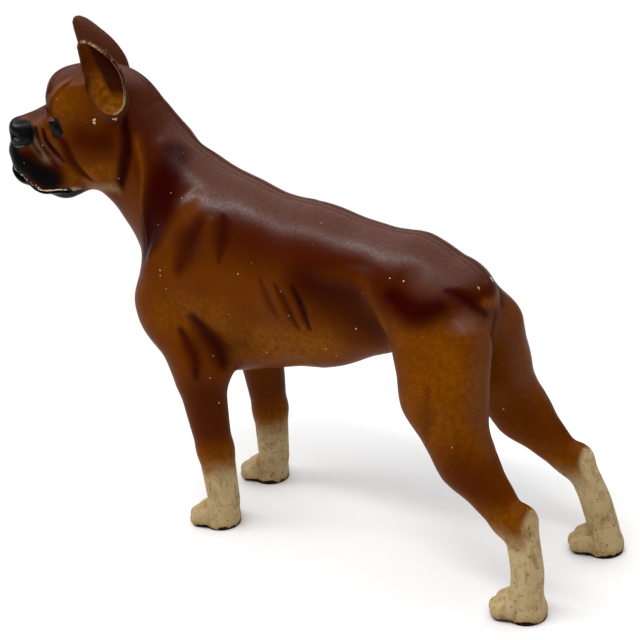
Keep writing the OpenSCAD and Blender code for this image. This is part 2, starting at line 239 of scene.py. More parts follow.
def trunk():
    lump((-70, 0, 110.5), 43.5, (-27, 0, 112), 35, 0.632, 4)
    lump((-27, 0, 112), 35, (20, 0, 116.5), 23.5, 0.723, 4)
    lump((20, 0, 116.5), 23.5, (35.5, 0, 113.2), 20.6, 0.88, 4)
    lump((-97, 0, 92), 22, (-97, 0, 112), 20, 0.92, 8)
    lump((38, 0, 122), 7, (47, 0, 117.4), 4.7, 0.95, 2)


def neck():
    lump((-70, 0, 129), 25.5, (-97, 0, 141), 25, 0.8, 9)
    lump((-97, 0, 141), 25, (-116, 0, 164), 21.5, 0.8, 9)
    lump((-116, 0, 164), 21.5, (-120, 0, 179), 18.5, 0.8, 8)


trunk()
neck()
print("trunk and neck:", len(lumps), "lumps")

# %% [markdown]
# The forelegs stand straight, and the hind legs are bent at knee and hock. A paw is one low lump with
# four toes on it. The toes weld only a little, so that the clefts between them stay.

# %% Legs
def paw(x, y):
    lump((x - 1, y, 3), 7.6, (x + 3, y, 3), 8.4, 1, 4)
    for side in (-1, 1):
        lump((x - 1, y + side * 6.2, 5.2), 3.8, (x - 5.6, y + side * 6.6, 3.2), 3.4, 1, 0.9)
        lump((x - 3, y + side * 2.6, 6.2), 4.1, (x - 8, y + side * 2.9, 3.4), 3.6, 1, 0.9)


def foreleg():
    lump((-70, 13, 135), 11, (-95, 16, 100), 14.5, 0.75, 8)
    lump((-95, 13, 116), 12, (-94, 13.5, 92), 12.5, 1.0, 10)
    lump((-92, 14, 92), 13, (-82, 19, 70), 9, 1.0, 6)
    lump((-95, 16, 99), 14, (-76, 19, 77), 12.5, 0.8, 6)
    lump((-79, 20.5, 78), 11.5, (-75.4, 22, 36), 7.8, 0.95, 6)
    lump((-75, 22, 36), 7.8, (-74.6, 22.5, 12), 7, 1, 3)
    paw(-80, 22.5)


def hindleg():
    lump((32, 12, 108), 17, (41.5, 19.5, 82.5), 17, 0.75, 7)
    lump((47, 13, 102), 13, (47, 18.5, 82.5), 13, 0.8, 6)
    lump((41.5, 19.5, 82.5), 17, (54.5, 25, 59), 12.5, 0.75, 4)
    lump((54.5, 25, 59), 12, (72.5, 28, 40), 7, 0.85, 4)
    lump((72.5, 28, 40), 7, (77.5, 28, 41.5), 5.6, 0.85, 3)
    lump((77.5, 28, 39.5), 6.5, (83, 29.5, 12), 6.5, 0.95, 4)
    paw(80, 29.5)


foreleg()
hindleg()
print("with the legs:", len(lumps), "lumps")

# %% [markdown]
# The head has a skull, temples, cheeks, a stop between the eyes, a short broad muzzle with hanging
# lips, a chin, a nose and the bulge of the eye. Small lumps with a small weld stay crisp.

# %% Head
def head():
    lump((-124, 0, 184), 16.5, (-133, 0, 185.5), 16.5, 0.85, 5)
    lump((-140, 5.8, 190), 8.6, (-140, 5.8, 190), 8.6, 0.95, 5)
    lump((-131, 9, 190), 8, (-136, 9, 184), 8, 0.7, 5)
    lump((-150, 0, 180.5), 4.6, (-155, 0, 176.6), 4.6, 1.3, 2)
    lump((-131, 8.2, 167), 13, (-131, 8.2, 166), 13, 0.75, 7)
    lump((-146, 0, 170), 12, (-155.5, 0, 171.2), 11, 1.0, 6)
    lump((-160, 0, 160), 8.2, (-146, 0, 154.5), 9, 1.0, 3)
    lump((-146, 0, 154.5), 9, (-131, 0, 160.5), 12, 1.0, 4)
    lump((-161, 0, 167.5), 7.4, (-154, 0, 166), 9, 1.0, 2)
    lump((-159, 4.6, 165.5), 8, (-153, 7, 158.5), 8.6, 0.85, 2)
    lump((-153, 7, 158.5), 8.6, (-146, 8.4, 158), 8, 0.85, 3)
    lump((-161, 0, 176.2), 5.4, (-158.4, 0, 176), 5.8, 1.25, 2)
    lump((-163, 0, 178), 3.2, (-157, 0, 178.6), 3.2, 1.8, 2)
    lump((-163, 0, 174.4), 3.4, (-163, 0, 177.6), 3.4, 1.6, 1.5)
    lump((-147.4, 8, 179.8), 2.6, (-146, 8.8, 177.2), 2.6, 1.0, 0.6)


head()
print("with the head:", len(lumps), "lumps")

# %% [markdown]
# Each pricked ear is a tapering roll of clay along a curved spine. A second, smaller roll is the bowl
# that will be pressed out of it. An ear cut from a flat sheet would lack the thick foot of a cast one.

# %% Ears
def curve(path, per_span=6):
    path = np.array(path, float)
    ends = np.vstack([2 * path[0] - path[1], path, 2 * path[-1] - path[-2]])
    made = []
    for a, b, c, d in zip(ends, ends[1:], ends[2:], ends[3:]):
        for t in np.arange(per_span) / per_span:
            made.append(0.5 * (2 * b + (c - a) * t + (2 * a - 5 * b + 4 * c - d) * t ** 2
                               + (3 * b - 3 * c + d - a) * t ** 3))
    made.append(path[-1])
    return np.array(made)


def roll(spine, flat, weld):
    line = curve(spine, 4)
    return [(a[:3], a[3], b[:3], b[3]) for a, b in zip(line, line[1:])], flat, weld


# Each point of a spine has x, y, z and a radius
ear_spine = (
    (-122.4, 15, 189, 6.7),
    (-124, 16.6, 198, 7.5),
    (-126.4, 18, 206, 5.9),
    (-129.5, 18.8, 212.5, 3.4),
    (-131.7, 19.3, 215.8, 1.4),
)
bowl_spine = (
    (-122.8, 18.8, 189, 5.9),
    (-124.4, 20.2, 198, 6.7),
    (-126.6, 21.4, 206, 5.1),
    (-129.6, 21.9, 212.4, 2.6),
    (-131.4, 21.5, 215.2, 1.2),
)
ear = roll(ear_spine, 0.75, 5)
bowl = roll(bowl_spine, 1.0, 0.8)
lumps.append(ear)
print("with the ears:", len(lumps), "lumps")

# %% [markdown]
# Each lump is two spheres, squeezed sideways, with a skin stretched over both: the convex hull. All
# lumps are joined into one object, and a voxel remesh fuses them into a single skin of even faces.
# Boolean unions would fuse them too, but would leave long thin faces that can't be worked further.

# %% Lay the lumps down and fuse them
voxel = 0.96
sphere_segments, sphere_rings = 32, 16


def alone(piece):
    bpy.ops.object.select_all(action="DESELECT")
    piece.select_set(True)
    bpy.context.view_layer.objects.active = piece


def stretch_lump(a, ra, b, rb, flat):
    ends = []
    for place, radius in ((a, ra), (b, rb)):
        bpy.ops.object.select_all(action="DESELECT")
        bpy.ops.mesh.primitive_uv_sphere_add(segments=sphere_segments, ring_count=sphere_rings,
                                             radius=radius, location=place)
        ends.append(bpy.context.object)
        ends[-1].scale.y = flat
    for end in ends:
        end.select_set(True)
    bpy.ops.object.join()
    bpy.ops.object.transform_apply()
    bpy.ops.object.mode_set(mode="EDIT")
    bpy.ops.mesh.select_all(action="SELECT")
    bpy.ops.mesh.convex_hull()
    bpy.ops.object.mode_set(mode="OBJECT")
    return bpy.context.object


def fuse(name, parts, shrink=0.0):
    pieces = [stretch_lump(a, ra - shrink, b, rb - shrink, flat)
              for segments, flat, weld in parts for a, ra, b, rb in segments]
    bpy.ops.object.select_all(action="DESELECT")
    for piece in pieces:
        piece.select_set(True)
    bpy.context.view_layer.objects.active = pieces[0]
    bpy.ops.object.join()
    pieces[0].name = name
    pieces[0].data.remesh_voxel_size = voxel
    bpy.ops.object.voxel_remesh()
    return pieces[0]


clay = fuse("clay", lumps)
print("fused clay:", len(clay.data.polygons), "faces")

# %% [markdown]
# The bowl of the ear is pressed in with a tool of its own shape, made a little small, by a Boolean. A
# second remesh makes the faces along its rim even again.

# %% Press the bowl into the ear
tool_play = 0.3


def take_away(piece, tool):
    alone(piece)
    change = piece.modifiers.new("take_away", "BOOLEAN")
    change.operation = "DIFFERENCE"
    change.solver = "MANIFOLD"
    change.object = tool
    bpy.ops.object.modifier_apply(modifier=change.name)
    bpy.data.objects.remove(tool)


take_away(clay, fuse("bowl_tool", [bowl], tool_play))
bpy.ops.object.voxel_remesh()
print("clay with bowls:", len(clay.data.polygons), "faces")

# %% [markdown]
# The skin is cut flat under the paws, where the iron is ground level, and along the joint. The head
# and the paws carry the finest work, so their faces are divided once more. Finer faces everywhere
# would do the same, at four times the size.

# %% Cut the soles and the joint, and refine the head and paws
fine_head_x, fine_paw_z, above_sole = -118, 13, 0.01


def cut(normal, fill):
    bpy.ops.mesh.select_all(action="SELECT")
    bpy.ops.mesh.bisect(plane_co=(0, 0, 0), plane_no=normal, use_fill=fill, clear_inner=True)


def face_centres(mesh):
    flat_list = np.empty(len(mesh.polygons) * 3)
    mesh.polygons.foreach_get("center", flat_list)
    return flat_list.reshape(-1, 3)


alone(clay)
bpy.ops.object.mode_set(mode="EDIT")
cut((0, 0, 1), True)
cut((0, 1, 0), False)
bpy.ops.mesh.select_all(action="DESELECT")
bpy.ops.object.mode_set(mode="OBJECT")

centre = face_centres(clay.data)
fine = (centre[:, 0] < fine_head_x) | ((centre[:, 2] < fine_paw_z) & (centre[:, 2] > above_sole))
clay.data.polygons.foreach_set("select", fine)
bpy.ops.object.mode_set(mode="EDIT")
bpy.ops.mesh.select_mode(type="FACE")
bpy.ops.mesh.subdivide(number_cuts=1)
bpy.ops.object.mode_set(mode="OBJECT")
print("half skin:", len(clay.data.vertices), "points,", len(clay.data.polygons), "faces")

# %% [markdown]
# Thumbs now smooth the lumps into each other. The distance of a point to the clay is the smooth
# minimum of its distances to the lumps: near a join both lumps count, so the crease between them fills
# up. A Smooth modifier would round the joins too, but would shrink the toes and the lips. The bowl of
# the ear has a thin rim behind, and opens softly to the temple in front and below. For such soft
# edges, rise goes smoothly from 0 to 1 between two values, and fall goes from 1 to 0.

# %% Distance to the clay
soft_rim = 4.0
soft_rim_x, soft_rim_z = (-128, -121), (200, 206)
far_off = 1000.0


def rise(values, start, end):
    t = np.clip((values - start) / (end - start), 0, 1)
    return t * t * (3 - 2 * t)


def fall(values, start, end):
    return 1 - rise(values, start, end)


def smooth_min(d, e, width):
    return np.minimum(d, e) - np.maximum(width - np.abs(d - e), 0) ** 2 / (4 * width)


def gap(p, part, reach=12, roll_weld=2.0):
    segments, flat, weld = part
    places = np.array([place for a, ra, b, rb in segments for place in (a, b)])
    radius = max(max(ra, rb) for a, ra, b, rb in segments) + reach
    close = ((p > places.min(0) - radius) & (p < places.max(0) + radius)).all(1)
    q = p[close]
    nearest = np.full(len(q), far_off)
    for a, ra, b, rb in segments:
        run = b - a
        along = np.clip((q - a) @ run / (run @ run + 1e-6), 0, 1)
        off = q - a - along[:, None] * run
        off[:, 1] /= flat
        nearest = smooth_min(nearest, np.sqrt((off * off).sum(1)) - ra - along * (rb - ra), roll_weld)
    result = np.full(len(p), far_off)
    result[close] = nearest
    return result


def clay_distance(p):
    q = p.copy()
    q[:, 1] = np.abs(q[:, 1])
    d = np.full(len(q), far_off)
    for part in lumps:
        d = smooth_min(d, gap(q, part), part[2])
    low_front = fall(q[:, 0], *soft_rim_x) * fall(q[:, 2], *soft_rim_z)
    return -smooth_min(-d, gap(q, bowl), bowl[2] + soft_rim * low_front)


middle = np.array([[-27.0, 0.0, 112.0]])
print("depth of the clay in the middle of the trunk in mm:", round(-float(clay_distance(middle)[0]), 1))

# %% [markdown]
# Each point of the skin is then drawn along the slope of that distance until the distance is zero.
# Points on the joint and on the soles keep to their planes.

# %% Draw the skin onto the clay
on_plane = 1e-4


def points_of(mesh):
    flat_list = np.empty(len(mesh.vertices) * 3)
    mesh.vertices.foreach_get("co", flat_list)
    return flat_list.reshape(-1, 3)


def settle(p, free, rounds=4, step=0.02, least_slope=0.15, longest=2):
    for _ in range(rounds):
        d = clay_distance(p)
        slope = np.stack([clay_distance(p + step * axis) - d for axis in np.eye(3)], 1) / step
        slope *= free
        size = np.maximum((slope * slope).sum(1), least_slope)
        p = p - slope * np.clip(d / size, -longest, longest)[:, None]
    return p


points = points_of(clay.data)
on_joint = points[:, 1] < on_plane
on_sole = points[:, 2] < on_plane
free = np.ones_like(points)
free[on_joint, 1] = 0
free[on_sole, 2] = 0
points = settle(points, free)
points[:, 2] = np.maximum(points[:, 2], 0)
clay.data.vertices.foreach_set("co", points.ravel())
clay.data.update()
left_over = np.abs(clay_distance(points)[~on_sole]).max()
print("largest distance left in mm:", round(float(left_over), 2))

# %% [markdown]
# ## Modelling tool
# Folds, ribs, wrinkles and lips are drawn with a loop tool: a stroke follows a path on the surface,
# and pushes the clay in, or pulls it up, with a soft edge. A path has a few points, joined by a smooth
# curve. Most paths are drawn on the side view, in x and z, and fall on the outside of the dog; the
# others give x, y and z. It is what a sculpting brush does, but a path can be read and corrected.

# %% The modelling tool
def caught(path, reach=1.2):
    line = curve(path)
    if line.shape[1] == 3:
        return np.array([points[((points - place) ** 2).sum(1).argmin()] for place in line])
    found = []
    for x, z in line:
        off = np.hypot(points[:, 0] - x, points[:, 2] - z)
        close = points[off < max(reach, off.min() + 0.1), 1]
        found.append((x, close[close > close.max() - 1].mean(), z))
    return np.array(found)


def along_path(line, p):
    best = ((p - line[0]) ** 2).sum(1)
    share = np.zeros(len(p))
    for i, (a, b) in enumerate(zip(line, line[1:])):
        run = b - a
        along = np.clip((p - a) @ run / (run @ run + 1e-9), 0, 1)
        off = p - a - along[:, None] * run
        away = (off * off).sum(1)
        closer = away <= best
        best[closer] = away[closer]
        share[closer] = (i + along[closer]) / (len(line) - 1)
    return np.sqrt(best), share


def spindle(share, pointed):
    return np.maximum(1 - pointed + pointed * np.sin(np.pi * share), 0.05)


def normals_of(mesh):
    flat_list = np.empty(len(mesh.vertices) * 3)
    mesh.vertex_normals.foreach_get("vector", flat_list)
    n = flat_list.reshape(-1, 3)
    n[on_joint, 1] = 0
    n[on_sole, 2] = 0
    return n / np.maximum(np.linalg.norm(n, axis=1), 1e-6)[:, None]


def stroke(path, radius, height, pointed=0.6):
    away, share = along_path(caught(path), points)
    width = spindle(share, pointed)
    lift[:] += height * width * fall(away, 0, radius * width)


def press():
    global points
    points = points + normals_of(clay.data) * lift[:, None]
    points[:, 2] = np.maximum(points[:, 2], 0)
    clay.data.vertices.foreach_set("co", points.ravel())
    clay.data.update()
    lift[:] = 0


lift = np.zeros(len(points))
print("the modelling tool moves", len(points), "points")

# %% [markdown]
# The trunk shows folds at the shoulder blade, three ribs, a hollow flank, folds behind the elbow and
# strong lines down the neck. Those that are only a few millimetres wide are strokes and no lumps.

# %% Strokes on the trunk and the legs
shoulder_fold = ((-69, 140), (-74, 130), (-79, 121))
blade_fold = ((-59, 144), (-58, 136), (-59, 126))
blade_ridge = ((-64, 142), (-66, 133), (-69, 124))
blade_edge = ((-74, 150), (-84, 138), (-96, 124))
rib_grooves = (
    ((-39, 121), (-35, 113), (-31, 106)),
    ((-31, 120), (-26, 112), (-22, 102)),
    ((-24, 120), (-20, 112), (-17, 102)),
)
flank_hollow = ((-19, 121), (-2, 113), (13, 104))
flank_edge = ((-11, 125), (7, 124), (15, 114), (17, 98))
elbow_folds = (
    ((-81, 93), (-77, 87), (-73, 81), (-73, 74)),
    ((-74, 99), (-70, 92), (-66, 85), (-64, 79)),
)
neck_ridge = ((-106, 171), (-103, 164), (-101, 156), (-103, 142), (-104, 127))
jaw_groove = ((-114, 179), (-113, 169), (-117, 160), (-121, 153))
neck_hollow = ((-88, 164), (-90, 148), (-97, 134), (-103, 125))
thigh_groove = ((43, 92), (42, 80), (41, 68))
tail_crease = ((41, 11, 121.5), (46, 8, 118.5), (50, 5, 113))
rump_slit = ((54, 0, 113), (54, 0, 106), (53, 0, 98))

stroke(shoulder_fold, 11, -1.3, 0.5)
stroke(blade_fold, 6, -1.1, 0.8)
stroke(blade_ridge, 6, 0.8)
stroke(blade_edge, 9, 1.2, 0.5)
for groove, depth in zip(rib_grooves, (0.6, 0.9, 1.2)):
    stroke(groove, 3, -depth, 0.6)
stroke(flank_hollow, 17, -2.4, 0.3)
stroke(flank_edge, 9, 1.0)
stroke(elbow_folds[0], 6, -1.0, 0.6)
stroke(elbow_folds[1], 10, -1.7, 0.5)
stroke(neck_ridge, 4.5, 0.6, 0.5)
stroke(jaw_groove, 6.5, -2.2, 0.4)
stroke(neck_hollow, 13, -1.6, 0.3)
stroke(thigh_groove, 8, -0.5, 0.9)
stroke(tail_crease, 4, -0.5, 0.6)
stroke(rump_slit, 2.4, -0.8, 0.5)
press()
print("trunk strokes pressed in, from x", points[:, 0].min().round(1), "to", points[:, 0].max().round(1))

# %% [markdown]
# The face has a brow, a cheek line, three wrinkles across the muzzle, lips that meet in a long line,
# and a nose with nostrils. They are thin, and the faces there were divided once more for them.

# %% Strokes on the head
brow = ((-149, 183), (-148, 190), (-144, 195), (-137, 199))
eye = ((-147, 10, 180), (-146, 11, 177))
cheek_line = ((-147, 175), (-144, 172), (-142, 165), (-139, 160), (-135, 155))
cheekbone = ((-142, 180), (-138, 179), (-134, 180), (-130, 181))
wrinkles = (
    ((-158, 178), (-157, 173), (-154, 167)),
    ((-155, 179), (-154, 173), (-151, 167), (-148, 162)),
    ((-152, 178), (-151, 173), (-148, 168), (-145, 164)),
)
mouth = ((-168, 0, 164), (-167, 5, 159), (-162, 9, 154), (-156, 11, 151), (-150, 12, 150), (-145, 11, 149))
nose_edge = ((-157, 6, 178), (-157, 7, 174), (-161, 6, 171), (-167, 0, 171))
nostril = ((-166, 4, 177), (-165, 5, 175), (-162, 7, 174))
lip_parting = ((-168, 0, 171), (-169, 0, 164))

stroke(brow, 2.4, 0.9, 0.4)
stroke(cheek_line, 3.4, -1.3)
stroke(cheekbone, 1.8, 0.35)
for groove in wrinkles:
    stroke(groove, 1.5, -1.0)
stroke(mouth, 1.8, -1.8, 0)
stroke(nose_edge, 1.3, -0.5)
stroke(nostril, 1.9, -1.6)
stroke(lip_parting, 1.3, -0.9)
press()
print("head strokes pressed in, up to z", points[:, 2].max().round(1))

# %% [markdown]
# The real castings meet in a line along the back and the neck that was filed, but still shows. A fine
# groove beside the joint gives it.

# %% Groove at the joint
groove_width, groove_depth, groove_bottom = 1.2, 0.3, 125
lift[:] = -groove_depth * np.clip(1 - points[:, 1] / groove_width, 0, 1) * (points[:, 2] > groove_bottom)
print("groove along", int((lift < 0).sum()), "points")
press()

# %% [markdown]
# ## Spraying
# The pattern is painted while it is still straight, where the two sides can be sprayed alike. A spray
# stroke leaves paint along a path, full within an inner radius and fading to an outer one. The coats
# are kept as masks on the points, and the material mixes their colours, with its own grain. A painted
# image would need a map of the whole skin, and would blur where the points don't.

# %% Spray gun and masks
# Two coats carry light and shade: one is painted shade in folds and hollows, and also the maroon of the
# black mask; another is chalk with a painted sheen.
coats = ("gold", "dark", "recess", "chalk", "cream", "black", "wear", "iron", "gloss")
masks = {name: np.zeros(len(points)) for name in coats}
at_x, at_z = points[:, 0], points[:, 2]


def cover(path, inner, outer, strength, pointed=0.0, catch=True):
    line = caught(path) if catch else curve(path)
    away, share = along_path(line, points)
    away = away / spindle(share, pointed)
    return strength * fall(away, inner, outer)


def spray(coat, path, inner, outer, strength=1.0, pointed=0.0, catch=True):
    masks[coat] = 1 - (1 - masks[coat]) * (1 - cover(path, inner, outer, strength, pointed, catch))


def wipe(coat, path, inner, outer, strength):
    masks[coat] = masks[coat] * (1 - cover(path, inner, outer, strength))


def at_least(coat, values):
    masks[coat] = np.maximum(masks[coat], values)


def mean_cover(*names):
    return {name: round(float(masks[name].mean()), 2) for name in names}


print("coats:", ", ".join(coats))

# %% [markdown]
# The first coat is ochre. A golden coat lightens the thighs, the belly and the temples, and a dark one
# follows the spine, the crest and the calves. A thin gold line and a gap in the dark coat are painted
# highlights along the neck ridge, the edge of the shoulder blade and the edge of the flank.

# %% Golden and dark coats
tail_tip = ((51, 0, 116), (50, 4, 117))
spray("gold", ((40, 108), (47, 100), (52, 90), (46, 76)), 8, 30, 0.28)
spray("gold", ((-60, 88), (-45, 90), (-15, 95)), 2, 16, 0.5)
spray("gold", ((-84, 100), (-63, 102)), 2, 16, 0.3)
spray("gold", ((-142, 188), (-134, 188), (-130, 184)), 3, 12, 0.25)
spray("gold", ((-140, 158), (-128, 158)), 2, 9, 0.4)
# painted highlights along the ridges of the neck, the shoulder blade and the flank
spray("gold", neck_ridge, 0.2, 2.2, 0.3, 0.5)
spray("gold", blade_edge, 1, 9, 0.15)
spray("gold", flank_edge, 1, 6, 0.2)
spray("gold", tail_tip, 0.3, 3.5, 0.5)

back_line = ((-62, 0, 151), (-27, 0, 146), (14, 0, 141))
rump_line = ((14, 0, 141), (34, 0, 134), (46, 0, 128))
crest_line = ((-70, 0, 150), (-97, 0, 165), (-112, 0, 184))
skull_line = ((-112, 0, 190), (-125, 0, 204), (-140, 0, 204), (-150, 0, 192))
spray("dark", back_line, 18, 46, catch=False)
spray("dark", rump_line, 12, 27, catch=False)
spray("dark", crest_line, 10, 36, catch=False)
spray("dark", skull_line, 8, 15, catch=False)
# on the shoulder blade, the neck ridge and the flank edge these gaps leave painted highlights; at the tail
# tip the gold shows through
wipe("dark", blade_edge, 2, 10, 0.5)
wipe("dark", ((-72, 142), (-66, 138), (-68, 128)), 2, 10, 0.4)
wipe("dark", neck_ridge, 1, 6, 0.7)
wipe("dark", tail_tip, 0.5, 4, 0.7)
wipe("dark", flank_edge, 1, 6, 0.5)
spray("dark", neck_hollow, 2, 18, 0.85)
spray("dark", ((20, 122), (32, 118), (44, 119)), 2, 14, 0.7)
spray("dark", ((-71, 64), (-71, 52), (-71, 38)), 1, 20, 0.75)
spray("dark", ((56, 62), (62, 56), (69, 50)), 1, 19, 0.6)
spray("dark", ((-12, 126), (0, 122)), 2, 14, 0.5)
print("mean cover:", mean_cover("gold", "dark"))

# %% [markdown]
# Then painted shade, a redder, almost black brown, darkens the folds and hollows, with black in the
# deepest rib groove and behind the jaw. It follows the same paths as the strokes of the modelling tool, so
# paint and form agree.

# %% Painted shade in the folds
spray("recess", shoulder_fold, 0, 12, 0.75, 0.5)
spray("recess", blade_fold, 0, 6, 0.6, 0.7)
for groove, depth in zip(rib_grooves, (0.5, 0.75, 0.95)):
    spray("recess", groove, 0, 3.6, depth, 0.6)
spray("black", rib_grooves[2], 0, 2, 0.5, 0.6)
spray("recess", flank_hollow, 1, 18, 0.7, 0.3)
spray("recess", elbow_folds[0], 0, 6, 0.85, 0.5)
spray("recess", elbow_folds[1], 0, 10, 0.95, 0.4)
spray("recess", ((-61, 88), (-54, 90)), 0, 13, 0.45)
spray("recess", jaw_groove, 0.5, 8, 0.95, 0.3)
spray("black", jaw_groove, 0, 5, 0.4, 0.4)
spray("recess", neck_hollow, 3, 14, 0.95, 0.3)
spray("recess", ((22, 122), (33, 118), (42, 120)), 1, 10, 0.95, 0.4)
spray("recess", tail_crease, 0, 5, 0.85, 0.5)
spray("recess", rump_slit, 0, 2, 0.7)
spray("recess", thigh_groove, 0, 6, 0.35, 0.8)
spray("recess", ((-137, 174), (-128, 172)), 0, 12, 0.75)
spray("recess", cheek_line, 0, 4, 0.85, 0.4)
for groove in wrinkles:
    spray("recess", groove, 0.3, 1.6, 1.0, 0.4)
print("mean cover:", mean_cover("recess"))

# %% [markdown]
# The ears are dark outside. Inside, the bowl is golden in front and below, with painted shade along its
# back wall, and its rear rim is worn down to the primer. The distances to the ear's two rolls of clay tell
# these parts from each other, so no path is needed.

# %% Paint on the ears
ear_gap, bowl_gap = gap(points, ear), gap(points, bowl)
ear_foot_z, ear_slant = 189, 0.3
on_ear = fall(ear_gap, 0.5, 3.5)
rearward = at_x + ear_slant * (at_z - ear_foot_z)
outside = on_ear * rise(bowl_gap, 0.7, 1.5)
ear_back = outside * rise(rearward, -131, -127)
inside = fall(ear_gap, -1, 0) * fall(bowl_gap, 0.5, 1.3)
back_wall = inside * rise(rearward, -123, -120.5) * rise(at_z, 188, 193)
bowl_gold = inside * fall(at_z, 197, 206)
masks["gold"] = np.maximum(masks["gold"] * (1 - inside), 0.8 * bowl_gold)
leaf_dark = 0.45 * inside * rise(at_z, 198, 210)
masks["dark"] = np.maximum(masks["dark"] * (1 - inside) + leaf_dark, 0.9 * ear_back)
# painted shade along the back wall of the bowl
masks["recess"] = np.maximum(masks["recess"] * (1 - inside), 0.9 * back_wall)
rim_line = fall(np.abs(ear_gap), 0, 1.3) * fall(np.abs(bowl_gap), 0, 1.7)
masks["cream"] = 0.9 * rim_line * rise(rearward, -125, -122.5)
print("points in the bowl:", int((inside > 0.5).sum()), "and on the outside:", int((outside > 0.5).sum()))

# %% [markdown]
# The stockings are cream, with a golden hem that fades into the legs, and reach higher on the back of
# the hock. They follow height and the way that the surface faces, as a spray from below does.

# %% Cream stockings
foreleg_cream, hindleg_cream, cream_fade = 16, 22, 26
hem_start, hem_end = 15, 33
over_cream = at_z - np.where(at_x < 0, foreleg_cream, hindleg_cream)
golden_hem = fall(over_cream, hem_start, hem_end)
at_least("gold", 0.5 * golden_hem)
masks["dark"] *= 1 - golden_hem
at_least("cream", fall(over_cream, 0, cream_fade))
faces = normals_of(clay.data)
back_of_hock = rise(faces[:, 0], 0.2, 0.7) * rise(at_x, 73, 79) * fall(at_z, 42, 52)
at_least("cream", 0.85 * back_of_hock)
print("mean cover:", mean_cover("cream"))

# %% [markdown]
# The mask is maroon, going to black on the lips, chin and nose, with a painted highlight on the ridges
# between the wrinkles and along the brow. The eye and the nostril are black dots.

# %% Black mask and eyes
spray("cream", ((-134, 150), (-126, 150)), 0, 9, 0.4)
spray("cream", ((-143, 151), (-142, 149)), 0, 3.5, 0.7)
# painted highlight along the brow ridge
spray("cream", brow, 0, 1.2, 0.35)

# the maroon of the mask, in the same coat as the painted shade
spray("recess", ((-161, 165), (-152, 159)), 3, 11, 0.9)
# painted highlight on the ridges between the wrinkles
spray("cream", ((-158, 176), (-155, 171), (-152, 166)), 0, 6, 0.4)
spray("black", ((-161, 163), (-152, 157)), 1, 10, 0.85)
spray("black", ((-167, 3, 169), (-164, 6, 165)), 4, 8, 0.9)
spray("black", ((-157, 176), (-152, 172)), 1, 8, 0.35)
spray("black", ((-168, 0, 160), (-160, 0, 151), (-150, 0, 146), (-145, 4, 146)), 5, 9)
spray("black", ((-164, 0, 178), (-160, 6, 176)), 4.6, 7.2)
spray("black", ((-161, 0, 182), (-155, 3, 181)), 0, 6, 0.5)
spray("black", mouth, 1.6, 3.2)
spray("black", nostril, 1, 3)
spray("black", eye, 2.2, 2.9)
print("mean cover:", mean_cover("black"))

# %% [markdown]
# ## Wear
# Paint is thin on a ridge, and a hollow gets painted shade. The height of each point over the mean of its
# neighbours tells one from the other. A shader can read much the same as Pointiness, but only in one
# render engine, so it is worked out here.

# %% Ridges and hollows
full_ridge, full_dip = 0.3, 0.2


def smoothed(values, rounds):
    for _ in range(rounds):
        total = np.bincount(edges[:, 0], values[edges[:, 1]], len(values))
        total += np.bincount(edges[:, 1], values[edges[:, 0]], len(values))
        values = total / np.maximum(degree, 1)
    return values


flat_list = np.empty(len(clay.data.edges) * 2, int)
clay.data.edges.foreach_get("vertices", flat_list)
edges = flat_list.reshape(-1, 2)
degree = np.bincount(edges.ravel(), minlength=len(points))
mean_place = np.stack([smoothed(points[:, c], 4) for c in range(3)], 1)
height = ((points - mean_place) * faces).sum(1)
height[on_joint | on_sole] = 0
ridge = smoothed(np.clip(height / full_ridge, 0, 1), 1)
dip = smoothed(np.clip(-height / full_dip, 0, 1), 1)
print("ridges:", int((ridge > 0.5).sum()), "points, hollows:", int((dip > 0.5).sum()), "points")

# %% [markdown]
# Dust has chalked the enamel wherever it faces up, and a painted sheen, the reflection of the overhead
# light, lies on the same faces with a soft lower edge. Both also lie on the outside of the ears, on the
# rump and along the crest of the neck, and a painted sheen follows the inner thigh and the front fold of
# the ear. The way each point faces gives most of that.

# %% Chalk and painted sheen
upright = faces[:, 2]
on_head = fall(at_x, -120, -112)
lower_edge = 0.56 - 0.12 * rise(at_x, -30, 20)
# dust with a painted sheen on the faces that look up to the overhead light
masks["chalk"] = rise(upright - lower_edge, 0, 0.2) * rise(at_z, 95, 115) * (1 - inside)
wipe("chalk", neck_hollow, 4, 20, 0.9)
wipe("chalk", ((16, 124), (30, 119), (42, 121)), 2, 13, 0.9)
masks["chalk"] *= 1 - 0.4 * on_head
spray("chalk", ((-159, 175), (-154, 172), (-150, 167)), 1, 8)
spray("chalk", ((53, 2, 102), (60, 17, 94), (60, 24, 83), (66, 27, 64)), 0.5, 3.5, 0.7, 0.3)

facing_back = rise(faces[:, 0], 0.55, 0.85) * (at_x > 40)
facing_back *= rise(at_z, 62, 77) * fall(at_z, 114, 122)
at_least("chalk", 0.8 * facing_back)
at_least("chalk", 0.9 * ear_back)
spray("chalk", crest_line, 6, 17, 0.8, catch=False)
ear_fold = ((-128, 201), (-130, 194), (-128, 186), (-126, 182))
spray("chalk", ear_fold, 0.2, 1.8, 0.7, 0.5)
print("mean cover:", mean_cover("chalk"))

# %% [markdown]
# The upper faces are also the ones that hands have polished, so their gloss is kept. It is less on the
# head and in the shaded folds, and the eyes and the nose shine most.

# %% Gloss
polished = rise(upright, 0.42, 0.72) * rise(at_z, 90, 110)
polished *= 1 - 0.5 * on_head
masks["gloss"] = 0.26 * polished * (1 - 0.8 * masks["recess"])
wipe("gloss", ((22, 128), (34, 123), (44, 121)), 3, 13, 0.9)
spray("gloss", eye, 2.2, 2.6, 0.3)
spray("gloss", ((-165, 0, 177), (-161, 6, 175)), 4, 6, 0.3)
spray("gloss", ((-76, 149), (-66, 147), (-54, 145)), 2, 13, 0.25)
spray("gloss", ((2, 139), (14, 136), (22, 133)), 2, 10, 0.2)
print("mean cover:", mean_cover("gloss"))
